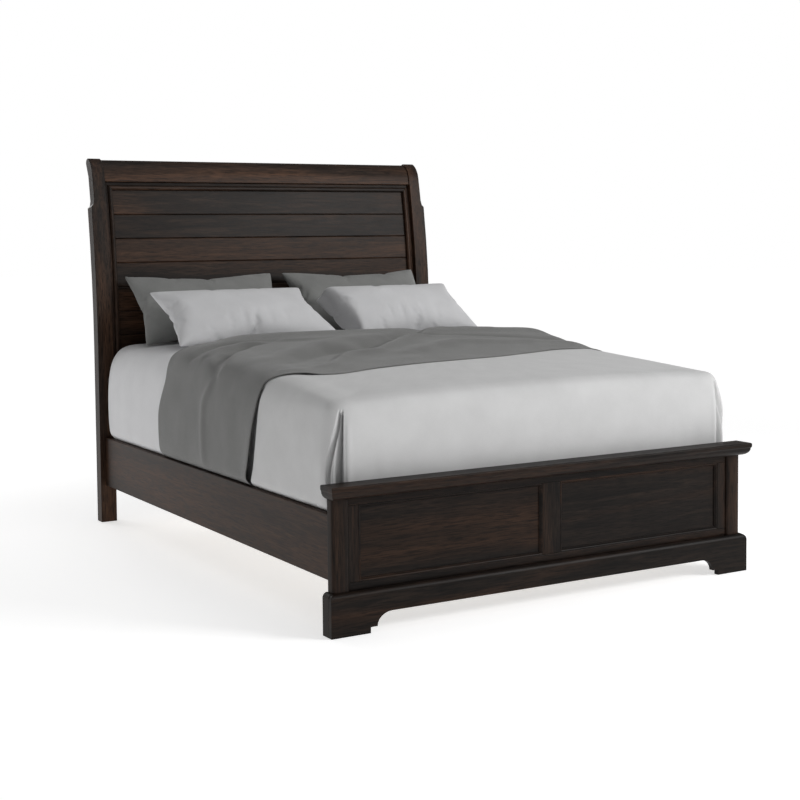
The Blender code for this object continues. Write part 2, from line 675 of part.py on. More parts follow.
def bed_base(frame):
    """The box spring and the mattress, one on the other, with the three layers of bedding."""
    box_body = body_empty("box_spring_lift", (0, 0, SLAT_TOP), frame)
    box_top = SLAT_TOP + GAP + BOX_SPRING_HEIGHT
    box_spring = hollow_block(SLAT_TOP + GAP, box_top, -0.004, BOX_WALL, LOW_ROUND)
    add_piece("box_spring", box_spring, "ticking", box_body, smooth=True)
    bed_body = body_empty("mattress_lift", (0, 0, box_top), box_body)
    mattress = hollow_block(box_top + GAP, MATTRESS_TOP, 0.0, MATTRESS_WALL, TOP_ROUND)
    add_piece("mattress", mattress, "mattress_knit", bed_body, smooth=True)
    add_piece("fitted_sheet", cover(*SHEET_LAYER), "sheet_cotton", bed_body, smooth=True)
    coverlet = cut_off(cover(*COVERLET_LAYER), COVERLET_END_Y, -1)
    add_piece("coverlet", coverlet, "coverlet_cotton", bed_body, smooth=True)
    blanket = cut_off(cut_off(cover(*BLANKET_LAYER), BLANKET_Y[1], -1), BLANKET_Y[0], 1)
    add_piece("blanket", blanket, "blanket_weave", bed_body, smooth=True)
    return bed_body


PILLOW_HALF_WIDTH = 0.3475
PILLOW_CENTRE_X = 0.3725
# tilt from flat, half depth, half thickness, and the height that its lowest point rests at
BACK_PILLOW = (math.radians(49), 0.190, 0.075, MATTRESS_TOP + SHEET_LAYER[1] + 0.002)
FRONT_PILLOW = (math.radians(33), 0.195, 0.080, MATTRESS_TOP + BLANKET_LAYER[1] + 0.002)
BACK_PILLOW_GAP = 0.024  # to the side mouldings, which stand proud of the planks
PILLOW_BETWEEN = 0.010


def pillow_reach(tilt, half_depth, half_thickness):
    """Half of a tilted pillow's extent along Y and along Z."""
    along_y = math.hypot(half_depth * math.cos(tilt), half_thickness * math.sin(tilt))
    along_z = math.hypot(half_depth * math.sin(tilt), half_thickness * math.cos(tilt))
    return along_y, along_z


def pillow(name, centre, tilt, half_depth, half_thickness, finish, body):
    """A plump form, thickest in the middle, whose two faces meet in a thin edge."""
    columns, rows = 12, 10
    across = steps(-1, 1, columns)
    along = [math.sin(a) for a in steps(-math.pi / 2, math.pi / 2, rows)]
    bm = bmesh.new()
    forward = Vector((0, math.cos(tilt), math.sin(tilt)))
    outward = Vector((0, -math.sin(tilt), math.cos(tilt)))
    layers = []
    for face in (1, -1):
        grid = []
        for j, v in enumerate(along):
            line = []
            for i, u in enumerate(across):
                rim = i in (0, columns) or j in (0, rows)
                if face == -1 and rim:
                    line.append(layers[0][j][i])
                    continue
                swell = half_thickness * math.sqrt(max(0.0, (1 - u**4) * (1 - v * v)))
                place = Vector(centre) + Vector((u * PILLOW_HALF_WIDTH, 0, 0))
                place += forward * (v * half_depth) + outward * (face * swell)
                line.append(bm.verts.new(place))
            grid.append(line)
        layers.append(grid)
        for j in range(rows):
            for i in range(columns):
                bm.faces.new((grid[j][i], grid[j][i + 1], grid[j + 1][i + 1], grid[j + 1][i]))
    add_piece(name, bm, finish, body, smooth=True)


def pillows(bed_body):
    """A dark pillow against the headboard on each side, and a light one leaning in front of it."""
    back_y_reach, back_z_reach = pillow_reach(*BACK_PILLOW[:3])
    front_y_reach, front_z_reach = pillow_reach(*FRONT_PILLOW[:3])
    back_y = HEAD_Y + 0.010 - BACK_PILLOW_GAP - back_y_reach
    back_z = BACK_PILLOW[3] + back_z_reach
    front_y = back_y - back_y_reach - PILLOW_BETWEEN - front_y_reach
    front_z = FRONT_PILLOW[3] + front_z_reach
    for side, sign in SIDES:
        x = sign * PILLOW_CENTRE_X
        back_centre, front_centre = (x, back_y, back_z), (x, front_y, front_z)
        back_body = body_empty(f"pillow_back_{side}_lift", back_centre, bed_body)
        pillow(f"pillow_back_{side}", back_centre, *BACK_PILLOW[:3], "pillow_dark", back_body)
        front_body = body_empty(f"pillow_front_{side}_lift", front_centre, back_body)
        pillow(f"pillow_front_{side}", front_centre, *FRONT_PILLOW[:3], "pillow_light", front_body)


# ---------------------------------------------------------------- the bed
def build_bed():
    clear_scene()
    frame = body_empty("bed_frame", (0, 0, 0))
    for side, sign in SIDES:
        headboard_post(side, sign, frame)
    headboard_crest(frame)
    headboard_planks(frame)
    headboard_mouldings(frame)
    headboard_lower_rail(frame)
    footboard_cap(frame)
    stile_inner = footboard_frame(frame)
    footboard_plinth(frame)
    for side, sign in SIDES:
        footboard_post(side, sign, frame)
        footboard_panel(side, sign, stile_inner, frame)
        side_rail(side, sign, frame)
        for end in ("foot", "head"):
            rail_bracket(end, side, sign, frame)
    slats_and_legs(frame)
    pillows(bed_base(frame))


build_bed()
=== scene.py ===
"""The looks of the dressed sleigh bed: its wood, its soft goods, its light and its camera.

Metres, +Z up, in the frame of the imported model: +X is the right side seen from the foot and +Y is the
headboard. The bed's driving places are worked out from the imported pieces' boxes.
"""

import json
import math

import bmesh
import bpy
from mathutils import Euler, Matrix, Vector, noise

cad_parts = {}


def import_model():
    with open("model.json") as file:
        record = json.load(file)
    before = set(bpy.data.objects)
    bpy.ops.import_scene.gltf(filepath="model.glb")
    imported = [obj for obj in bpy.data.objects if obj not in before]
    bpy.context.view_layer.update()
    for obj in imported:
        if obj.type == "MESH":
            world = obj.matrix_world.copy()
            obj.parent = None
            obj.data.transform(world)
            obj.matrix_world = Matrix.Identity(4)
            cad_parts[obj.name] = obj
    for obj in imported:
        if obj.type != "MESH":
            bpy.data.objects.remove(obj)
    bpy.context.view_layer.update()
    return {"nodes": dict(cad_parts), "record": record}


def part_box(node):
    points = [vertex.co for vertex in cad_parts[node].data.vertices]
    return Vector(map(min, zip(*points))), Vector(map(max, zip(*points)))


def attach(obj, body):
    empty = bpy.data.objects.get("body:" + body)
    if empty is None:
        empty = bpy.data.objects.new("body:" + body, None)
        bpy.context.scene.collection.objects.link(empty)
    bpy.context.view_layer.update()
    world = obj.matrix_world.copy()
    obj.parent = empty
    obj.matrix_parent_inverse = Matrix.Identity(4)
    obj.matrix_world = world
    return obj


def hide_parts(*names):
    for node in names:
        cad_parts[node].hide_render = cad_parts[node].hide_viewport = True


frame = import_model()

NODES = frame["nodes"]

# ---------------------------------------------------------------- driving places
FRONT_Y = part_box("footboard_plinth")[0].y
MATTRESS_LOW, MATTRESS_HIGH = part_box("mattress")
BOX_LOW, BOX_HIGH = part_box("box_spring")
HALF = MATTRESS_HIGH.x
FOOT_Y = MATTRESS_LOW.y
HEAD_Y = MATTRESS_HIGH.y
HEM_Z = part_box("coverlet")[0].z
COVERLET_END_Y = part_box("coverlet")[1].y

SIDES = (("left", -1), ("right", 1))


def clamp(value, low=0.0, high=1.0):
    return max(low, min(high, value))


def smooth_step(low, high, value):
    t = clamp((value - low) / (high - low))
    return t * t * (3 - 2 * t)


def mix(a, b, share):
    return a + (b - a) * share


def bell(distance, width):
    return math.exp(-((distance / width) ** 2))


def spline(values, t):
    """A smooth curve through evenly spaced values, read at t, which counts in steps."""
    last = len(values) - 1
    i = min(int(clamp(t, 0, last)), last - 1)
    f = clamp(t, 0, last) - i
    p1, p2 = values[i], values[i + 1]
    p0 = values[i - 1] if i > 0 else 2 * p1 - p2
    p3 = values[i + 2] if i + 2 <= last else 2 * p2 - p1
    return p1 + 0.5 * f * (p2 - p0 + f * (2 * p0 - 5 * p1 + 4 * p2 - p3 + f * (3 * (p1 - p2) + p3 - p0)))


def noise_at(x, y, z=0.0, seed=0):
    """Smooth noise between about -1 and 1."""
    return noise.noise(Vector((x + 17.3 * seed, y - 9.1 * seed, z + 5.7 * seed)))


# ---------------------------------------------------------------- node materials
class Tree:
    """A material's node tree with short names for adding and joining nodes."""

    def __init__(self, name):
        self.material = bpy.data.materials.new(name)
        self.material.use_nodes = True
        self.nodes = self.material.node_tree.nodes
        self.shader = self.nodes["Principled BSDF"]

    def add(self, kind, inputs=None, **settings):
        made = self.nodes.new("ShaderNode" + kind)
        for key, value in settings.items():
            setattr(made, key, value)
        for key, value in (inputs or {}).items():
            self.put(made.inputs[key], value)
        return made

    def put(self, socket, value):
        if isinstance(value, bpy.types.NodeSocket):
            self.material.node_tree.links.new(value, socket)
        else:
            socket.default_value = value

    def math(self, operation, a, b=0.0, c=0.0):
        made = self.add("Math", operation=operation)
        for socket, value in zip(made.inputs, (a, b, c)):
            self.put(socket, value)
        return made.outputs[0]

    def noise(self, vector, scale, detail=4.0, roughness=0.5, distortion=0.0):
        inputs = {"Vector": vector, "Scale": scale, "Detail": detail}
        inputs.update({"Roughness": roughness, "Distortion": distortion})
        return self.add("TexNoise", inputs).outputs["Fac"]

    def ramp(self, value, stops):
        made = self.add("ValToRGB", {"Fac": value})
        elements = made.color_ramp.elements
        while len(elements) < len(stops):
            elements.new(0.5)
        for element, (place, colour) in zip(elements, stops):
            element.position = place
            element.color = (*colour, 1.0) if len(colour) == 3 else (colour[0],) * 3 + (1.0,)
        return made.outputs["Color"]

    def blend(self, share, a, b):
        made = self.add("Mix", data_type="RGBA")
        self.put(made.inputs["Factor"], share)
        self.put(made.inputs["A"], (*a, 1.0) if isinstance(a, tuple) else a)
        self.put(made.inputs["B"], (*b, 1.0) if isinstance(b, tuple) else b)
        return made.outputs["Result"]

    def scaled(self, vector, scale, shift=(0, 0, 0)):
        return self.add("Mapping", {"Vector": vector, "Scale": scale, "Location": shift}).outputs[0]

    def bump(self, height, distance, strength=1.0, normal=None):
        made = self.add("Bump", {"Height": height, "Distance": distance, "Strength": strength})
        if normal:
            self.put(made.inputs["Normal"], normal)
        return made.outputs["Normal"]

    def finish(self, **inputs):
        for key, value in inputs.items():
            socket = self.shader.inputs[key.replace("_", " ")]
            self.put(socket, (*value, 1.0) if isinstance(value, tuple) and len(value) == 3 else value)
        return self.material


# How much finer the figure and the pores are across the grain than along it.
GRAIN = {"x": (1.0, 13.0, 13.0), "y": (13.0, 1.0, 13.0), "z": (13.0, 13.0, 1.0)}
PORES = {"x": (16.0, 330.0, 330.0), "y": (330.0, 16.0, 330.0), "z": (330.0, 330.0, 16.0)}


def espresso(name, axis, stain_and_light_tone, shine):
    """Very dark stained oak under a thin satin lacquer: growth rings, dark pores and a brown rub-through.

    The third argument is the stain's tone, darker when less. Its differences between the headboard, the
    footboard and the rails are painted light: lighter and darker copies of one wood that stand in for how the
    light falls on each part. shine is the lacquer's specular level.
    """
    tree = Tree(f"espresso_{name}")
    place = tree.add("TexCoord").outputs["Object"]
    piece = tree.add("ObjectInfo").outputs["Random"]
    shift = tree.math("MULTIPLY", piece, 7.0)
    shifts = tree.add("CombineXYZ", {0: shift, 1: shift, 2: shift}).outputs[0]
    moved = tree.add("VectorMath", {0: place, 1: shifts})
    along = tree.scaled(moved.outputs[0], GRAIN[axis])
    rings = tree.noise(along, 3.0, 7.0, 0.66, 1.2)
    strokes = tree.noise(tree.scaled(moved.outputs[0], PORES[axis]), 1.0, 3.0, 0.6)
    patches = tree.noise(along, 0.36, 3.0, 0.5, 0.8)
    wood = tree.ramp(rings, [(0.34, (0.0068, 0.0046, 0.0036)), (0.50, (0.0138, 0.0092, 0.0070)),
                             (0.66, (0.0270, 0.0172, 0.0124))])
    rubbed = tree.ramp(patches, [(0.45, (0.0,)), (0.66, (1.0,))])
    worn = tree.math("MULTIPLY", tree.math("MULTIPLY", rubbed, rings), 0.80)
    colour = tree.blend(worn, wood, (0.1050, 0.0480, 0.0240))
    pores = tree.ramp(strokes, [(0.38, (0.30,)), (0.52, (1.0,))])
    # the piece's random tone times the part's tone, which also carries painted light: a lighter or darker
    # copy of one stain for each part
    own = tree.math("ADD", tree.math("MULTIPLY", piece, 0.16 * stain_and_light_tone), 0.92 * stain_and_light_tone)
    tone = tree.math("MULTIPLY", own, pores)
    toned = tree.add("HueSaturation", {"Value": tone, "Color": colour}).outputs[0]
    rough = tree.math("ADD", tree.math("MULTIPLY", strokes, 0.18), 0.34)
    surface = tree.bump(strokes, 0.0004, 0.30)
    return tree.finish(Base_Color=toned, Roughness=rough, Normal=surface, Specular_IOR_Level=shine)


def raw_pine():
    """Unfinished pale wood for the slats, the cleats and the centre legs."""
    tree = Tree("slat_wood_grain")
    place = tree.add("TexCoord").outputs["Object"]
    along = tree.scaled(place, (1.6, 22.0, 22.0))
    rings = tree.noise(along, 2.2, 6.0, 0.6, 1.2)
    fibres = tree.noise(along, 22.0, 3.0, 0.6)
    colour = tree.ramp(rings, [(0.34, (0.40, 0.255, 0.135)), (0.52, (0.57, 0.405, 0.235)),
                               (0.70, (0.68, 0.515, 0.330))])
    rough = tree.math("ADD", tree.math("MULTIPLY", fibres, 0.20), 0.55)
    return tree.finish(Base_Color=colour, Roughness=rough, Normal=tree.bump(fibres, 0.0004, 0.4))


def zinc():
    """Zinc-plated steel: a faint spangle and fine scratches."""
    tree = Tree("zinc_steel_plating")
    place = tree.add("TexCoord").outputs["Object"]
    spangle = tree.add("TexVoronoi", {"Vector": place, "Scale": 180.0}).outputs["Color"]
    scratches = tree.noise(tree.scaled(place, (40.0, 40.0, 900.0)), 1.0, 3.0)
    colour = tree.blend(0.10, (0.52, 0.53, 0.54), spangle)
    rough = tree.math("ADD", tree.math("MULTIPLY", scratches, 0.22), 0.24)
    return tree.finish(Base_Color=colour, Roughness=rough, Metallic=1.0,
                       Normal=tree.bump(scratches, 0.0001, 0.3))


def moulded_plastic():
    tree = Tree("black_plastic_moulded")
    place = tree.add("TexCoord").outputs["Object"]
    grain = tree.noise(place, 900.0, 2.0)
    cloud = tree.noise(place, 30.0, 3.0)
    colour = tree.blend(cloud, (0.012, 0.012, 0.013), (0.024, 0.024, 0.025))
    rough = tree.math("ADD", tree.math("MULTIPLY", grain, 0.15), 0.42)
    return tree.finish(Base_Color=colour, Roughness=rough, Normal=tree.bump(grain, 0.0001, 0.4))


def woven(name, dark, light, pitch, height, sheen, fuzz=0.3, stripe=None):
    """Cloth whose warp and weft follow the piece's own UV map, which is in metres."""
    tree = Tree(name)
    flat = tree.add("UVMap", uv_map="cloth").outputs["UV"]
    turn = math.tau / pitch
    x, y, _ = (tree.add("SeparateXYZ", {0: flat}).outputs[k] for k in range(3))
    warp = tree.math("SINE", tree.math("MULTIPLY", x, turn))
    weft = tree.math("SINE", tree.math("MULTIPLY", y, turn))
    threads = tree.math("MULTIPLY_ADD", tree.math("MULTIPLY", warp, weft), 0.5, 0.5)
    slubs = tree.noise(tree.scaled(flat, (1.0, 12.0, 1.0)), 60.0, 4.0, 0.6)
    cloud = tree.noise(flat, 9.0, 4.0, 0.5)
    tone = tree.math("ADD", tree.math("MULTIPLY", cloud, 0.55), tree.math("MULTIPLY", slubs, 0.30))
    tone = tree.math("ADD", tone, tree.math("MULTIPLY", threads, 0.15))
    colour = tree.blend(tree.add("MapRange", {0: tone, 1: 0.35, 2: 0.65}).outputs[0], dark, light)
    if stripe:
        gap, width, shade = stripe
        band = tree.math("LESS_THAN", tree.math("FRACT", tree.math("DIVIDE", x, gap)), width)
        colour = tree.blend(band, colour, shade)
    hairs = tree.noise(flat, 700.0, 2.0)
    relief = tree.math("ADD", threads, tree.math("MULTIPLY", tree.math("ADD", slubs, hairs), fuzz))
    surface = tree.bump(relief, height, 0.6)
    rough = tree.math("ADD", tree.math("MULTIPLY", slubs, 0.12), 0.82)
    return tree.finish(Base_Color=colour, Roughness=rough, Normal=surface, Specular_IOR_Level=0.25,
                       Sheen_Weight=sheen, Sheen_Roughness=0.5)


# Each part's stain tone and lacquer level. The tones differ by part as painted light: one wood is made
# lighter on the headboard and darker on the footboard to stand in for how the light falls on them.
STAIN_AND_LIGHT_TONES = {"headboard": (1.30, 0.13), "footboard": (0.68, 0.12), "rail": (1.10, 0.11)}
FINISHES = {f"{part}_{axis}": espresso(f"{part}_{axis}", axis, *look)
            for part, look in STAIN_AND_LIGHT_TONES.items() for axis in "xyz"}
FINISHES["slat_wood"] = raw_pine()
FINISHES["zinc_steel"] = zinc()
FINISHES["black_plastic"] = moulded_plastic()
FINISHES["ticking"] = woven("ticking_stripe", (0.50, 0.49, 0.46), (0.60, 0.59, 0.56), 0.0011, 0.0002, 0.1,
                            stripe=(0.024, 0.16, (0.20, 0.23, 0.29)))
FINISHES["blanket"] = woven("blanket_wool_weave", (0.124, 0.124, 0.120), (0.172, 0.172, 0.167), 0.0030,
                            0.0006, 0.3, fuzz=0.5)
# Each smooth cloth: its darkest and lightest threads, the weave's pitch and height, and the sheen.
SMOOTH_CLOTHS = {
    "knit": ((0.66, 0.65, 0.62), (0.76, 0.75, 0.72), 0.0016, 0.0003, 0.2),
    "sheet": ((0.66, 0.66, 0.67), (0.72, 0.72, 0.73), 0.0009, 0.0001, 0.15),
    "coverlet": ((0.56, 0.56, 0.56), (0.62, 0.62, 0.62), 0.0012, 0.0002, 0.15),
    "pillow_dark": ((0.180, 0.182, 0.177), (0.226, 0.229, 0.222), 0.0010, 0.0002, 0.15),
    "pillow_light": ((0.56, 0.56, 0.57), (0.62, 0.62, 0.63), 0.0010, 0.0002, 0.15),
}
for cloth, look in SMOOTH_CLOTHS.items():
    FINISHES[cloth] = woven(f"{cloth}_weave", *look)


# ---------------------------------------------------------------- pieces
def add_object(name, mesh, finish, body, replaced=()):
    made = bpy.data.objects.new(name, mesh)
    bpy.context.scene.collection.objects.link(made)
    mesh.materials.clear()
    mesh.materials.append(FINISHES[finish])
    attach(made, body)
    if replaced:
        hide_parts(*replaced)
    return made


BOARD_GROWTH = 1.006  # the size of a board's copy over its packed size, across the board
WELD = 2e-6
FLAT_ANGLE = math.radians(0.6)  # faces that meet at less than this are one flat face
EDGE_ANGLE = math.radians(22)  # edges sharper than this are eased
EASING, FINE_EASING = 0.0018, 0.0008


def close_joints(bm):
    """Lets a board's edges meet its neighbours', so that no light shows through the joint."""
    middle = sum((v.co for v in bm.verts), Vector()) / len(bm.verts)
    for vert in bm.verts:
        away = vert.co - middle
        vert.co = middle + Vector((away.x, away.y * BOARD_GROWTH, away.z * BOARD_GROWTH))


def eased_copy(node, finish, width, body="bed_frame"):
    """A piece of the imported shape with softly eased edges, which catch the light as real ones do."""
    bm = bmesh.new()
    bm.from_mesh(NODES[node].data)
    bmesh.ops.remove_doubles(bm, verts=bm.verts, dist=WELD)
    bmesh.ops.dissolve_limit(bm, angle_limit=FLAT_ANGLE, verts=bm.verts, edges=bm.edges)
    if "plank" in node:
        close_joints(bm)
    mesh = bpy.data.meshes.new(node + "_eased")
    bm.to_mesh(mesh)
    bm.free()
    for name in [a.name for a in mesh.attributes if a.name in ("custom_normal", "sharp_edge", "sharp_face")]:
        mesh.attributes.remove(mesh.attributes[name])
    mesh.shade_smooth()
    made = add_object(node + "_eased", mesh, finish, body, [node])
    bevel = made.modifiers.new("eased_edges", "BEVEL")
    bevel.width = width
    bevel.segments = 2
    bevel.limit_method = "ANGLE"
    bevel.angle_limit = EDGE_ANGLE
    bevel.harden_normals = True
    bevel.miter_outer = "MITER_ARC"
    return made


def wooden_pieces():
    """Every piece of dark wood, with its grain along its length and its edges eased."""
    bodies = frame["record"]["behaviour"]["bodies"]["bed_frame"]
    for node in bodies:
        if node.startswith(("slat", "support_leg")):
            NODES[node].material_slots[0].material = FINISHES["slat_wood"]
            continue
        if node.startswith("rail_bracket"):
            NODES[node].material_slots[0].material = FINISHES["zinc_steel"]
            continue
        low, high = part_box(node)
        size = high - low
        axis = "xyz"[max(range(3), key=lambda k: size[k])]
        width = FINE_EASING if "plank" in node or "moulding" in node else EASING
        part = {"headboard": "headboard", "side": "rail"}.get(node.split("_")[0], "footboard")
        eased_copy(node, f"{part}_{axis}", width)
    for number in (1, 2, 3):
        NODES[f"leveller_{number}"].material_slots[0].material = FINISHES["black_plastic"]


# ---------------------------------------------------------------- the made bed's own shape
# Distances out from the mattress and heights, from the hem up over the shoulder on to the top.
SIDE_OUT = [0.013, 0.021, 0.033, 0.045, 0.049, 0.046, 0.034, 0.012, -0.019, -0.070, -0.127]
SIDE_Z = [0.345, 0.364, 0.375, 0.402, 0.495, 0.593, 0.674, 0.721, 0.748, 0.763, 0.766]
CRISP_OUT = [0.013, 0.021, 0.033, 0.045, 0.049, 0.047, 0.040, 0.029, 0.006, -0.045, -0.110]
CRISP_Z = [0.345, 0.364, 0.375, 0.402, 0.495, 0.600, 0.700, 0.738, 0.757, 0.764, 0.766]
FOOT_OUT = [0.006, 0.008, 0.010, 0.011, 0.013, 0.012, 0.007, 0.000, -0.014, -0.048, -0.105]
FOOT_Z = [0.345, 0.375, 0.405, 0.440, 0.505, 0.590, 0.680, 0.725, 0.750, 0.763, 0.766]
SHAPE_STEPS = len(SIDE_OUT) - 1
SHAPE_TOP = SIDE_Z[-1]
MATTRESS_STEP = 4.20  # where the section passes the mattress's underside
SHAPE_WAIST = 0.50  # under this height the shape doesn't follow the top's own height
CORNER_RADIUS = {-1: 0.055, 1: 0.030}  # the foot's corners and the head's
LEAST_RADIUS = 0.012
SECTION_ROWS = 44
HEM_FADE = 0.05  # over this height a cover's lift grows from nothing at its hem
CENTRE_GAP = 0.03  # a cover's inner rows stop this far from the bed's middle line
MAP_OUT = 0.03  # lengths round the bed are measured this far out from the mattress
SHEET_LIFT, COVERLET_LIFT, BLANKET_LIFT = 0.0015, 0.0055, 0.0095
SHEET_THICKNESS, COVERLET_THICKNESS, BLANKET_THICKNESS = 0.0008, 0.0020, 0.0035


def top_height(x, y):
    """The height of the mattress's soft top: low at the foot, a little crowned across."""
    rise = 0.722 + 0.044 * smooth_step(FOOT_Y, FOOT_Y + 0.85, y)
    crown = 0.010 * (1 - (x / HALF) ** 2)
    droop = 0.014 * (abs(x) / HALF) ** 4 * (1 - smooth_step(FOOT_Y, FOOT_Y + 0.40, y))
    return rise + crown - droop


def section(t, foot_share, crisp, top):
    """The (out, z) point at step t of a section mixed from the soft, the crisp and the foot's ones."""
    out = mix(mix(spline(SIDE_OUT, t), spline(CRISP_OUT, t), crisp), spline(FOOT_OUT, t), foot_share)
    z = mix(mix(spline(SIDE_Z, t), spline(CRISP_Z, t), crisp), spline(FOOT_Z, t), foot_share)
    if z > SHAPE_WAIST:
        z = SHAPE_WAIST + (z - SHAPE_WAIST) * (top - SHAPE_WAIST) / (SHAPE_TOP - SHAPE_WAIST)
    return out, z


def crispness(y):
    """The shoulder is tight near the foot's corners and softer towards the headboard."""
    return 1 - smooth_step(FOOT_Y + 0.10, FOOT_Y + 0.60, y)


class Station:
    """One place round the mattress: part is side, corner or end, and share is how far along that part."""

    def __init__(self, part, share, across, along):
        self.part, self.share, self.across, self.along = part, share, across, along
        self.turn = {"side": 0.0, "end": 1.0}.get(part, share)

    def place(self, out, end_y):
        """The plan point out from the mattress's outline. An open cover's side runs to end_y."""
        half = HALF + out
        radius = max(CORNER_RADIUS[self.along] + out, LEAST_RADIUS)
        far = FOOT_Y - out if self.along < 0 else HEAD_Y + out
        centre = Vector((self.across * (half - radius), far - self.along * radius))
        if self.part == "side":
            start = 0.5 * (FOOT_Y + HEAD_Y) if end_y is None else end_y
            return Vector((self.across * half, mix(start, centre.y, self.share)))
        if self.part == "end":
            return Vector((mix(centre.x, 0.0, self.share), far))
        angle = self.share * math.pi / 2
        swing = Vector((self.across * math.cos(angle), self.along * math.sin(angle)))
        return centre + radius * swing


def quarter(across, along, side_shares, corner_shares, end_shares):
    """Stations from the middle of a side, or its open end, round a corner to the middle of the bed's end."""
    made = [Station("side", s, across, along) for s in side_shares]
    made += [Station("corner", s, across, along) for s in corner_shares]
    return made + [Station("end", s, across, along) for s in end_shares]


def even(count, last=True):
    """Shares from 0 to 1 in equal steps."""
    return [i / count for i in range(count + (1 if last else 0))]


def grid_faces(bm, rows, closed):
    """Quads between rows of vertices of equal length."""
    count = len(rows[0])
    for low, high in zip(rows, rows[1:]):
        for i in range(count if closed else count - 1):
            j = (i + 1) % count
            bm.faces.new((low[i], low[j], high[j], high[i]))


def cloth_map(bm, where):
    """Writes a UV map in metres from a dict of vertex to (u, v)."""
    layer = bm.loops.layers.uv.new("cloth")
    for face in bm.faces:
        for loop in face.loops:
            loop[layer].uv = where[loop.vert]


def cover(stations, end_y, lowest, lift, relief, closed, inner_rows=12):
    """A skin over the made bed's shape: rows up from step lowest, over the shoulder and in over the top."""
    bm = bmesh.new()
    where, rows = {}, []
    steps = [mix(lowest, SHAPE_STEPS, share) for share in even(SECTION_ROWS)]
    lengths = [0.0]
    for a, b in zip(stations, stations[1:]):
        lengths.append(lengths[-1] + (b.place(MAP_OUT, end_y) - a.place(MAP_OUT, end_y)).length)
    for t in steps:
        line = []
        for station, length in zip(stations, lengths):
            foot = station.turn if station.along < 0 else 0.6 * station.turn
            inner = station.place(SIDE_OUT[-1], end_y)
            out, z = section(t, smooth_step(0, 1, foot), crispness(inner.y), top_height(inner.x, inner.y))
            out += lift * clamp((z - HEM_Z) / HEM_FADE) + relief(station, out, z, end_y)
            rise = lift * smooth_step(0.70, 0.76, z)
            point = station.place(out, end_y)
            vert = bm.verts.new((point.x, point.y, z + rise))
            where[vert] = (length, z)
            line.append(vert)
        rows.append(line)
    last_out = mix(SIDE_OUT[-1], FOOT_OUT[-1], 0.5)
    deepest = -(HALF - CENTRE_GAP)
    for row in range(1, inner_rows + 1):
        line = []
        for station, length in zip(stations, lengths):
            foot = station.turn if station.along < 0 else 0.6 * station.turn
            inner = station.place(SIDE_OUT[-1], end_y)
            outer = section(SHAPE_STEPS, smooth_step(0, 1, foot), crispness(inner.y), 1)[0]
            out = mix(outer, deepest, row / inner_rows)
            point = station.place(out, end_y)
            vert = bm.verts.new((point.x, point.y, top_height(point.x, point.y) + lift))
            where[vert] = (length, SHAPE_TOP - out + last_out)
            line.append(vert)
        rows.append(line)
    grid_faces(bm, rows, closed)
    inner = rows[-1]
    count = len(inner)
    if closed:
        foot_middle = min(range(count), key=lambda k: (abs(inner[k].co.x) > 1e-6, inner[k].co.y))
        for k in range(count // 2):
            ring = [(foot_middle + step) % count for step in (-k, k, k + 1, -k - 1)]
            bm.faces.new([inner[place] for place in dict.fromkeys(ring)])
    else:
        for i in range(count // 2 - 1):
            bm.faces.new((inner[i], inner[i + 1], inner[count - 2 - i], inner[count - 1 - i]))
    cloth_map(bm, where)
    return bm


def to_mesh(name, bm):
    bmesh.ops.recalc_face_normals(bm, faces=bm.faces)
    mesh = bpy.data.meshes.new(name)
    bm.to_mesh(mesh)
    bm.free()
    mesh.shade_smooth()
    return mesh


def thickened(piece, thickness):
    """Gives a sheet its thickness, inwards from the outer face."""
    solid = piece.modifiers.new("cloth_thickness", "SOLIDIFY")
    solid.thickness = thickness
    solid.offset = -1.0
    return piece


def softened(piece, levels=1):
    smooth = piece.modifiers.new("soft_surface", "SUBSURF")
    smooth.levels = levels
    smooth.render_levels = levels
    return piece


def closed_ring(side=16, corner=8, end=14):
    """Stations all the way round, in order."""
    foot_left = quarter(-1, -1, even(side), even(corner)[1:], even(end)[1:])
    foot_right = quarter(1, -1, even(side), even(corner)[1:], even(end)[1:-1])
    head_right = quarter(1, 1, even(side)[1:], even(corner)[1:], even(end)[1:])
    head_left = quarter(-1, 1, even(side)[1:], even(corner)[1:], even(end)[1:-1])
    return foot_left + list(reversed(foot_right)) + head_right + list(reversed(head_left))


def small_waves(station, out, z, end_y):
    """Slight hanging ripples, faint under the shoulder and stronger towards the hem."""
    point = station.place(0.0, end_y)
    drop = smooth_step(0.68, 0.45, z)
    return 0.0022 * drop * noise_at(point.x * 6, point.y * 6, z * 1.2, 2)


def fitted_sheet():
    mesh = to_mesh("fitted_sheet_cloth", cover(closed_ring(80, 24), None, 0, SHEET_LIFT, sheet_relief, True))
    piece = add_object("fitted_sheet_cloth", mesh, "sheet", "mattress", ["fitted_sheet"])
    softened(thickened(piece, SHEET_THICKNESS))
    return piece


# ---------------------------------------------------------------- coverlet
PLEAT_TOP = 0.690
CORNER_ROOM = 0.040  # how far the fitted sheet stands back under the pleats
PLEAT_DEPTH = 0.046


def pleat(share, z):
    """How far the coverlet sinks at a foot corner: two slits that part from one point under the shoulder."""
    spread = smooth_step(PLEAT_TOP, PLEAT_TOP - 0.22, z)
    start = smooth_step(PLEAT_TOP, PLEAT_TOP - 0.04, z)
    left, right = mix(0.44, 0.22, spread), mix(0.50, 0.44, spread)
    first = smooth_step(0.030 + 0.022 * spread, 0.006, abs(share - left))
    second = smooth_step(0.034 + 0.070 * spread, 0.008 + 0.040 * spread, abs(share - right))
    return PLEAT_DEPTH * start * max(first, second)


def slit(point, z):
    """1 where the bedding is tucked in behind the slit at the blanket's foot-side edge."""
    edge = blanket_low_y(point.x, min(z, 0.719)) - 0.004 - 0.010 * smooth_step(0.72, 0.55, z)
    return smooth_step(edge - 0.002, edge + 0.006, point.y) * smooth_step(0.738, 0.70, z)


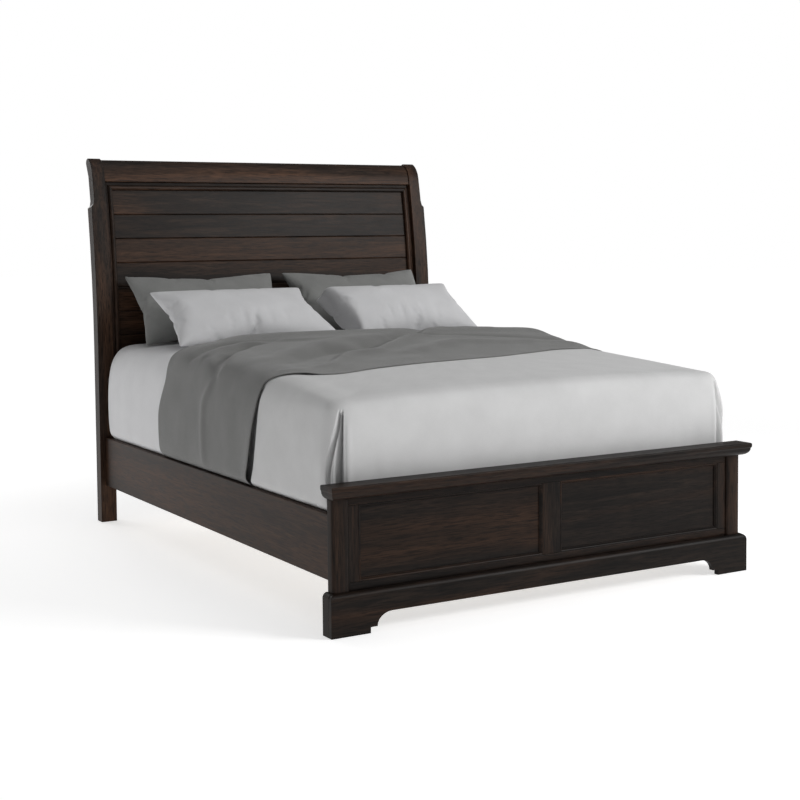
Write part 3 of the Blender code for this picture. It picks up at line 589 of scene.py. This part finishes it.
def sheet_relief(station, out, z, end_y):
    """The fitted sheet's ripples, and its room for the coverlet's slit and pleats."""
    point = station.place(0.0, end_y)
    relief = small_waves(station, out, z, end_y)
    if station.along < 0 and station.part == "corner":
        relief -= CORNER_ROOM * smooth_step(0.71, 0.67, z)
    if station.part == "side":
        hidden = smooth_step(0.28, 0.10, point.y)
        relief -= (out - 0.003) * slit(point, z) * hidden
    return relief


def coverlet_relief(station, out, z, end_y):
    point = station.place(0.0, end_y)
    low = smooth_step(0.66, 0.42, z)
    relief = 0.0018 * low * noise_at(point.x * 5, point.y * 5, z * 1.1, 5)
    if station.part == "corner":
        relief -= pleat(station.share, z)
        lip = bell(station.share - 0.66, 0.06) * smooth_step(PLEAT_TOP, PLEAT_TOP - 0.10, z)
        relief += 0.004 * lip
    if station.across > 0 and station.part != "end":
        near = 1 - smooth_step(FOOT_Y + 0.02, FOOT_Y + 0.30, point.y)
        away = 1 - smooth_step(0.25, 0.42, station.turn)
        relief += 0.016 * near * away * smooth_step(0.70, 0.58, z) * smooth_step(0.37, 0.42, z)
    if station.part == "end":
        fold = bell(abs(point.x) - 0.655, 0.018) + 0.7 * bell(abs(point.x) - 0.60, 0.014)
        relief -= 0.0035 * fold * smooth_step(0.62, 0.45, z)
    if station.part == "side":
        fold = bell(point.y - FOOT_Y - 0.10, 0.022) + 0.7 * bell(point.y - FOOT_Y - 0.16, 0.020)
        relief -= 0.0040 * fold * smooth_step(0.56, 0.42, z)
        relief -= (out - 0.006) * slit(point, z)
    return relief


def coverlet():
    side_y = [COVERLET_END_Y - 0.06 * i for i in range(4)] + [-0.405 - 0.005 * i for i in range(35)]
    side_y += [-0.60 - 0.026 * i for i in range(17)]
    last = FOOT_Y + CORNER_RADIUS[-1]
    side_shares = [(y - side_y[0]) / (last - side_y[0]) for y in side_y if y > last + 0.01] + [1.0]
    corner_shares = [0.05, 0.10] + [0.14 + 0.012 * i for i in range(42)] + [0.68, 0.74, 0.81, 0.88, 0.94, 1.0]
    end_shares = even(26)[1:]
    left = quarter(-1, -1, side_shares, corner_shares, end_shares)
    right = quarter(1, -1, side_shares, corner_shares, end_shares[:-1])
    stations = left + list(reversed(right))
    bm = cover(stations, COVERLET_END_Y, 0, COVERLET_LIFT, coverlet_relief, False)
    mesh = to_mesh("coverlet_cloth", bm)
    piece = add_object("coverlet_cloth", mesh, "coverlet", "mattress", ["coverlet"])
    softened(thickened(piece, COVERLET_THICKNESS))
    return piece


# ---------------------------------------------------------------- blanket
# Folds on the blanket's top: the line each follows, its half width, its ridge (a crease when negative), and
# its step, which lifts one side of the line and sinks the other.
FOLDS = [
    (((-0.66, -0.50), (-0.52, -0.44), (-0.345, -0.26), (-0.20, -0.235), (0.02, -0.04), (0.21, 0.11),
      (0.40, 0.31)), 0.046, -0.009, -0.016),
    (((-0.76, -0.16), (-0.69, -0.08), (-0.60, 0.02), (-0.44, 0.07)), 0.030, -0.010, -0.008),
    (((0.80, -0.30), (0.45, -0.12), (0.10, 0.05)), 0.042, -0.010, 0.012),
    (((-0.70, 0.20), (-0.50, 0.27), (-0.10, 0.25), (0.30, 0.30)), 0.070, 0.012, 0.0),
    (((-0.62, -0.28), (-0.30, -0.10), (0.00, 0.10)), 0.055, 0.010, 0.0),
    (((0.82, -0.02), (0.45, 0.10), (0.20, 0.20)), 0.070, 0.012, 0.0),
    (((0.80, 0.22), (0.55, 0.24), (0.36, 0.20)), 0.040, -0.012, 0.004),
    (((0.74, 0.34), (0.38, 0.34)), 0.050, 0.012, 0.0),
    (((-0.74, 0.10), (-0.62, 0.16), (-0.40, 0.13)), 0.020, -0.009, 0.0),
    (((-0.72, 0.02), (-0.58, 0.09), (-0.36, 0.04), (-0.18, 0.06)), 0.024, 0.007, 0.004),
    (((-0.10, -0.34), (0.20, -0.20), (0.52, -0.26)), 0.040, 0.006, 0.003),
]


FOLD_STRENGTH = 1.6


def fold_height(x, y):
    total = 0.0
    point = Vector((x, y))
    for line, width, ridge, step in FOLDS:
        nearest, offset, share = 9.0, 0.0, 0.0
        for k, (start, end) in enumerate(zip(line, line[1:])):
            a, b = Vector(start), Vector(end)
            along = clamp((point - a).dot(b - a) / (b - a).length_squared)
            away = point - a.lerp(b, along)
            if away.length < nearest:
                nearest = away.length
                offset = math.copysign(away.length, (b - a).cross(away))
                share = (k + along) / (len(line) - 1)
        taper = 0.35 + 0.65 * math.sin(math.pi * clamp(share, 0.08, 0.92))
        total += FOLD_STRENGTH * taper * bell(offset, width) * (ridge + 1.6 * step * offset / width)
    return total


# The blanket's foot-side edge from the left shoulder to the right one, evenly spaced, and down its sides.
BLANKET_EDGE = [-0.535, -0.640, -0.600, -0.566, -0.545, -0.522, -0.470, -0.415, -0.440]
BLANKET_DROP = [-0.445, -0.492, -0.516, -0.529, -0.535]


def blanket_low_y(x, z):
    """The blanket's foot-side edge."""
    if z < 0.72:
        y = spline(BLANKET_DROP, 4 * clamp((z - 0.37) / 0.35))
        return y + (0.09 * smooth_step(0.2, 0.6, x))
    return spline(BLANKET_EDGE, 8 * clamp((x + HALF) / (2 * HALF)))


def blanket_high_y(x, z):
    """The blanket's edge towards the pillows."""
    if z < 0.70:
        return mix(0.356, 0.300, smooth_step(0.52, 0.70, z))
    return mix(0.356, 0.300, smooth_step(0.42, 0.64, abs(x)))


def blanket_puff(x, y):
    """How high the loose blanket stands off the bed's top."""
    left = 0.45 + 0.55 * smooth_step(-0.74, -0.48, x)
    rise = 0.036 * smooth_step(-0.44, 0.02, y) * left
    tuck = 1 - smooth_step(0.30, 0.365, y)
    low = blanket_low_y(x, 1)
    edge = smooth_step(low, low + 0.09, y)
    return BLANKET_LIFT + max(rise + fold_height(x, y), -0.001) * mix(0.25, 1.0, tuck) * edge


# The blanket's mesh: rows up a side, rows across the top, and columns along the bed.
SIDE_ROWS, TOP_ROWS, LENGTH_COLUMNS = 40, 56, 84
SIDE_CLOTH = 0.56  # the blanket's cloth from its hem to the flat of the top


def blanket():
    bm = bmesh.new()
    where, rows = {}, []
    inner = HALF + SIDE_OUT[-1]
    for row in range(2 * SIDE_ROWS + TOP_ROWS + 1):
        line = []
        for column in range(LENGTH_COLUMNS + 1):
            v = column / LENGTH_COLUMNS
            side = -1 if row <= SIDE_ROWS else 1
            if row <= SIDE_ROWS or row >= SIDE_ROWS + TOP_ROWS:
                up = row if row <= SIDE_ROWS else 2 * SIDE_ROWS + TOP_ROWS - row
                t = SHAPE_STEPS * up / SIDE_ROWS
                y_guess = mix(blanket_low_y(side * HALF, 0.6), 0.37, v)
                out, z = section(t, 0.0, crispness(y_guess), top_height(side * inner, y_guess))
                x_top = side * (HALF + out)
                y = mix(blanket_low_y(x_top, z), blanket_high_y(x_top, z), v)
                stand = 0.010 * clamp((z - HEM_Z) / 0.05)
                flare = 0.008 * bell(v, 0.05) * smooth_step(0.72, 0.50, z)
                hang = 0.0035 * noise_at(y * 7, z * 1.5, side * 3, 7) * smooth_step(0.74, 0.60, z)
                bend = -0.09 - 0.07 * smooth_step(0.62, 0.74, z)
                crease = 0.006 * bell(y - bend, 0.024) * smooth_step(0.76, 0.66, z)
                out += stand + (flare + hang + crease) * smooth_step(0.36, 0.42, z)
                puff = blanket_puff(x_top, y)
                out += 0.55 * puff * smooth_step(0.66, 0.75, z)
                x = side * (HALF + out)
                z += puff * smooth_step(0.68, 0.766, z)
                length = t / SHAPE_STEPS * SIDE_CLOTH
                if side > 0:
                    length = 2 * SIDE_CLOTH + 2 * inner - length
            else:
                u = (row - SIDE_ROWS) / TOP_ROWS
                x = mix(-inner, inner, u)
                y = mix(blanket_low_y(x, 1), blanket_high_y(x, 1), v)
                z = top_height(x, y) + blanket_puff(x, y)
                z += 0.0016 * noise_at(x * 5, y * 9, 0, 11)
                length = SIDE_CLOTH + x + inner
            vert = bm.verts.new((x, y, z))
            where[vert] = (length, y)
            line.append(vert)
        rows.append(line)
    grid_faces(bm, rows, False)
    cloth_map(bm, where)
    mesh = to_mesh("blanket_cloth", bm)
    piece = add_object("blanket_cloth", mesh, "blanket", "mattress", ["blanket"])
    softened(thickened(piece, BLANKET_THICKNESS))
    return piece


# ---------------------------------------------------------------- pillows
CASE_COLUMNS, CASE_ROWS = 60, 36
CASE_SWELL = 0.86  # the blown-up case's width over its flat width
CASE_PRESSURE, FILL_FRAMES = 7.0, 28
BACK_HALF_THICKNESS, FRONT_HALF_THICKNESS = 0.075, 0.080
FOLD_AT = -0.74  # where the right front pillow's end folds back


def flat_case(half_width, half_depth, seed):
    """Two flat panels that share their edge, a little uneven, as (points, faces, map)."""
    points, faces, maps, index = [], [], [], {}
    for side in (1, -1):
        for j in range(CASE_ROWS + 1):
            for i in range(CASE_COLUMNS + 1):
                rim = i in (0, CASE_COLUMNS) or j in (0, CASE_ROWS)
                key = (i, j, 1 if rim else side)
                if key in index:
                    continue
                u, v = 2 * i / CASE_COLUMNS - 1, 2 * j / CASE_ROWS - 1
                lift = 0.0 if rim else side * (0.006 + 0.003 * noise_at(u * 4, v * 3, side, seed))
                index[key] = len(points)
                points.append((u * half_width, v * half_depth, lift))
                maps.append((u * half_width, v * half_depth))
        for j in range(CASE_ROWS):
            for i in range(CASE_COLUMNS):
                corners = []
                for a, b in ((i, j), (i + 1, j), (i + 1, j + 1), (i, j + 1)):
                    rim = a in (0, CASE_COLUMNS) or b in (0, CASE_ROWS)
                    corners.append(index[(a, b, 1 if rim else side)])
                faces.append(corners if side > 0 else corners[::-1])
    return points, faces, maps


def blown_up(points, faces):
    """The case after a short cloth simulation under air pressure."""
    mesh = bpy.data.meshes.new("case_to_fill")
    mesh.from_pydata(points, [], faces)
    case = bpy.data.objects.new("case_to_fill", mesh)
    bpy.context.scene.collection.objects.link(case)
    cloth = case.modifiers.new("filling", "CLOTH")
    settings = cloth.settings
    settings.quality = 6
    settings.mass = 0.25
    settings.tension_stiffness = 25
    settings.compression_stiffness = 25
    settings.shear_stiffness = 8
    settings.bending_stiffness = 0.25
    settings.air_damping = 2
    settings.use_pressure = True
    settings.uniform_pressure_force = CASE_PRESSURE
    settings.effector_weights.gravity = 0
    cloth.collision_settings.use_collision = False
    cloth.point_cache.frame_start = 1
    cloth.point_cache.frame_end = FILL_FRAMES
    for number in range(1, FILL_FRAMES + 1):
        bpy.context.scene.frame_set(number)
    graph = bpy.context.evaluated_depsgraph_get()
    filled = [v.co.copy() for v in case.evaluated_get(graph).data.vertices]
    bpy.data.objects.remove(case)
    bpy.context.scene.frame_set(1)
    return filled


def fitted_to(points, half_sizes):
    """Scales points to fill a box centred on the origin."""
    lows = [min(p[k] for p in points) for k in range(3)]
    highs = [max(p[k] for p in points) for k in range(3)]
    made = []
    for p in points:
        shares = [2 * (p[k] - lows[k]) / (highs[k] - lows[k]) - 1 for k in range(3)]
        made.append(Vector([share * half for share, half in zip(shares, half_sizes)]))
    return made


def tilt_of(node):
    """How far a packed pillow leans back: the slope of the line between its lowest and its highest edge."""
    low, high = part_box(node)
    edge = [v.co for v in NODES[node].data.vertices if v.co.x < low.x + 1e-4]
    bottom = min(edge, key=lambda c: c.z)
    top = max(edge, key=lambda c: c.z)
    return math.atan2(top.z - bottom.z, top.y - bottom.y), (top - bottom).length / 2


def pillow(node, finish, seed, half_thickness, shape, side):
    low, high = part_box(node)
    centre = (low + high) / 2
    tilt, half_depth = tilt_of(node)
    half_width = (high.x - low.x) / 2
    points, faces, maps = flat_case(half_width / CASE_SWELL, half_depth / CASE_SWELL, seed)
    filled = blown_up(points, faces)
    filled = fitted_to(filled, (half_width, half_depth, half_thickness))
    turn = Euler((tilt, 0, 0)).to_matrix()
    bm = bmesh.new()
    verts, where = [], {}
    for place, flat in zip(filled, maps):
        place = shape(place, half_width, half_depth, side)
        world = centre + turn @ place
        vert = bm.verts.new(world)
        verts.append(vert)
        where[vert] = flat
    for corners in faces:
        bm.faces.new([verts[k] for k in corners])
    cloth_map(bm, where)
    piece = add_object(node + "_case", to_mesh(node + "_case", bm), finish, node, [node])
    softened(piece)
    return piece


def back_shape(place, half_width, half_depth, side):
    u, v = place.x / half_width, place.y / half_depth
    crumple = 0.006 * noise_at(u * 3.0, v * 2.2, 0, 21) * smooth_step(0.2, 0.9, abs(u))
    return place + Vector((0, 0.014 * smooth_step(0.2, 1.0, v), crumple))


# Each tuck's place across the case and its strength.
TUCKS = ((-0.28, 1.0), (-0.10, 1.3), (0.04, 0.9), (0.22, 1.0), (0.40, 0.6))


def front_shape(place, half_width, half_depth, side):
    """Small tucks low on the face. The left pillow slumps to the middle; the right one's end folds over."""
    u, v = place.x / half_width, place.y / half_depth
    face = 1 if place.z > 0 else 0
    tucks = sum(bell(u - c, 0.022) * h for c, h in TUCKS) * bell(v + 0.50, 0.22)
    moved = place + Vector((0, 0, -0.004 * tucks * face))
    low = smooth_step(0.6, -1.0, v)
    if side < 0:
        moved.x += 0.052 * low * smooth_step(0.0, 1.0, u)
        return moved
    moved.x += 0.030 * low * smooth_step(0.0, 1.0, -u)
    over = FOLD_AT - u
    if over > 0:
        bend = math.radians(62) * smooth_step(0.0, 0.16, over)
        length = over * half_width
        moved.x += length * (1 - math.cos(bend))
        moved.z -= length * math.sin(bend)
    return moved


# ---------------------------------------------------------------- mattress and box spring
ROUNDING = 0.016  # of a padded block's long edges
BLOCK_ROWS = 30
BLOCK_INSETS = (0.03, 0.10, 0.30, 0.60)  # rings in from the edge of a block's top and bottom


def block(name, low_z, high_z, shrink, finish, body, node, relief):
    """A padded block that follows the bedding's inside, closed above and below."""
    bm = bmesh.new()
    stations = closed_ring()
    where, rows = {}, []
    for share in even(BLOCK_ROWS):
        z = mix(low_z, high_z, share)
        line = []
        for k, station in enumerate(stations):
            edge = min(z - low_z, high_z - z)
            rounded = ROUNDING * (1 - math.sqrt(clamp(1 - (1 - clamp(edge / ROUNDING)) ** 2)))
            out = -shrink - rounded + relief(z)
            point = station.place(out, None)
            vert = bm.verts.new((point.x, point.y, z))
            where[vert] = (k * 0.03, z)
            line.append(vert)
        rows.append(line)
    for row, level in ((rows[0], low_z), (rows[-1], high_z)):
        ring = row
        for inset in BLOCK_INSETS:
            line = []
            for station in stations:
                point = station.place(-shrink - ROUNDING - inset, None)
                vert = bm.verts.new((point.x, point.y, level))
                where[vert] = (point.x, point.y)
                line.append(vert)
            for a in range(len(line)):
                b = (a + 1) % len(line)
                bm.faces.new((ring[a], ring[b], line[b], line[a]))
            ring = line
        bm.faces.new(ring)
    grid_faces(bm, rows, True)
    cloth_map(bm, where)
    piece = add_object(name, to_mesh(name, bm), finish, body, [node])
    softened(piece)
    return piece


def box_spring_body():
    low, high = BOX_LOW.z, BOX_HIGH.z

    def tape(z):
        return 0.003 * (bell(z - low - 0.020, 0.004) + bell(high - 0.020 - z, 0.004)) - 0.002

    return block("box_spring_body", low, high, 0.006, "ticking", "box_spring", "box_spring", tape)


def mattress_body():
    bm = cover(closed_ring(), None, MATTRESS_STEP, -0.004, mattress_relief, True)
    bmesh.ops.holes_fill(bm, edges=[e for e in bm.edges if e.is_boundary], sides=0)
    mesh = to_mesh("mattress_body", bm)
    piece = add_object("mattress_body", mesh, "knit", "mattress", ["mattress"])
    softened(piece)
    return piece


def mattress_relief(station, out, z, end_y):
    """Keeps the mattress upright inside its cover and puts a taped edge round its top and bottom."""
    low = MATTRESS_LOW.z
    tape = 0.004 * (bell(z - low - 0.022, 0.005) + bell(0.700 - z, 0.005))
    corner = 0.016 if station.part == "corner" and station.along < 0 else 0.0
    return min(-0.006, -0.003 - out) - corner + tape - 0.012 * bell(z - low, 0.010)


# ---------------------------------------------------------------- stage, light and camera
FLOOR_RADIUS = 40.0
FADE_START, FADE_END = 2.0, 5.5  # the floor turns from lit paint to the backdrop's white between these
NEAR_GLOW, FAR_GLOW = 0.58, 1.0
AMBIENT = 0.24


def floor():
    bm = bmesh.new()
    bmesh.ops.create_circle(bm, cap_ends=True, segments=96, radius=FLOOR_RADIUS)
    mesh = bpy.data.meshes.new("studio_floor")
    bm.to_mesh(mesh)
    bm.free()
    tree = Tree("studio_floor_paint")
    place = tree.add("TexCoord").outputs["Object"]
    far = tree.add("VectorMath", {0: place}, operation="LENGTH").outputs["Value"]
    distances = {0: far, 1: FADE_START, 2: FADE_END}
    fade = tree.add("MapRange", distances, interpolation_type="SMOOTHSTEP").outputs[0]
    grain = tree.noise(place, 60.0, 3.0)
    rough = tree.math("ADD", tree.math("MULTIPLY", grain, 0.1), 0.75)
    glow = tree.math("ADD", tree.math("MULTIPLY", fade, FAR_GLOW - NEAR_GLOW), NEAR_GLOW)
    paint = tree.blend(fade, (0.80, 0.80, 0.80), (0.02, 0.02, 0.02))
    tree.finish(Base_Color=paint, Roughness=rough, Specular_IOR_Level=0.1, Emission_Color=(1.0, 1.0, 1.0),
                Emission_Strength=glow)
    mesh.materials.append(tree.material)
    made = bpy.data.objects.new("studio_floor", mesh)
    made.location.z = -0.0005
    bpy.context.scene.collection.objects.link(made)


def world():
    """A white backdrop that lights the bed more softly than it shows."""
    made = bpy.data.worlds.new("studio")
    bpy.context.scene.world = made
    made.use_nodes = True
    nodes, links = made.node_tree.nodes, made.node_tree.links
    seen = nodes["Background"]
    seen.inputs["Color"].default_value = (1, 1, 1, 1)
    seen.inputs["Strength"].default_value = 1.0
    light = nodes.new("ShaderNodeBackground")
    light.inputs["Strength"].default_value = AMBIENT
    light.inputs["Color"].default_value = (1, 1, 1, 1)
    path = nodes.new("ShaderNodeLightPath")
    share = nodes.new("ShaderNodeMixShader")
    links.new(path.outputs["Is Camera Ray"], share.inputs[0])
    links.new(light.outputs[0], share.inputs[1])
    links.new(seen.outputs[0], share.inputs[2])
    links.new(share.outputs[0], nodes["World Output"].inputs["Surface"])


def softbox(name, place, target, size, power):
    lamp = bpy.data.lights.new(name, "AREA")
    lamp.shape = "RECTANGLE"
    lamp.size, lamp.size_y = size
    lamp.energy = power
    made = bpy.data.objects.new(name, lamp)
    made.location = place
    made.rotation_euler = (Vector(target) - Vector(place)).to_track_quat("-Z", "Y").to_euler()
    made.visible_camera = False
    bpy.context.scene.collection.objects.link(made)


def lights():
    world()
    middle = (0.0, -0.2, 0.55)
    softbox("key", (3.6, -4.8, 3.3), middle, (2.4, 2.0), 212)
    softbox("top", (0.6, -0.6, 4.2), middle, (3.0, 3.0), 32)
    softbox("back", (-1.2, 4.2, 2.6), (0.0, 1.0, 0.8), (2.6, 1.8), 40)
    softbox("sheen", (-2.9, 4.0, 0.9), (-0.8, 0.3, 0.4), (1.6, 1.4), 12)


def camera():
    """A studio camera beyond the bed's foot, on its left, that looks a little down."""
    lens = bpy.data.cameras.new("camera")
    lens.sensor_width = 36.0
    lens.lens = 65.835
    lens.shift_y = -0.1
    made = bpy.data.objects.new("camera", lens)
    made.location = (-2.886, FRONT_Y - 3.882, 1.232)
    pan, pitch, roll = math.radians(-30.506), math.radians(90 - 3.406), math.radians(-0.529)
    turn = Matrix.Rotation(pan, 3, "Z") @ Matrix.Rotation(pitch, 3, "X") @ Matrix.Rotation(roll, 3, "Z")
    made.rotation_euler = turn.to_euler()
    bpy.context.scene.collection.objects.link(made)
    bpy.context.scene.camera = made
    bpy.context.scene.view_settings.view_transform = "Standard"


# ---------------------------------------------------------------- the scene
def build():
    camera()
    floor()
    lights()
    wooden_pieces()
    box_spring_body()
    mattress_body()
    fitted_sheet()
    coverlet()
    blanket()
    for side, sign in SIDES:
        pillow(f"pillow_back_{side}", "pillow_dark", 3 + sign, BACK_HALF_THICKNESS, back_shape, sign)
        pillow(f"pillow_front_{side}", "pillow_light", 8 + sign, FRONT_HALF_THICKNESS, front_shape, sign)


build()
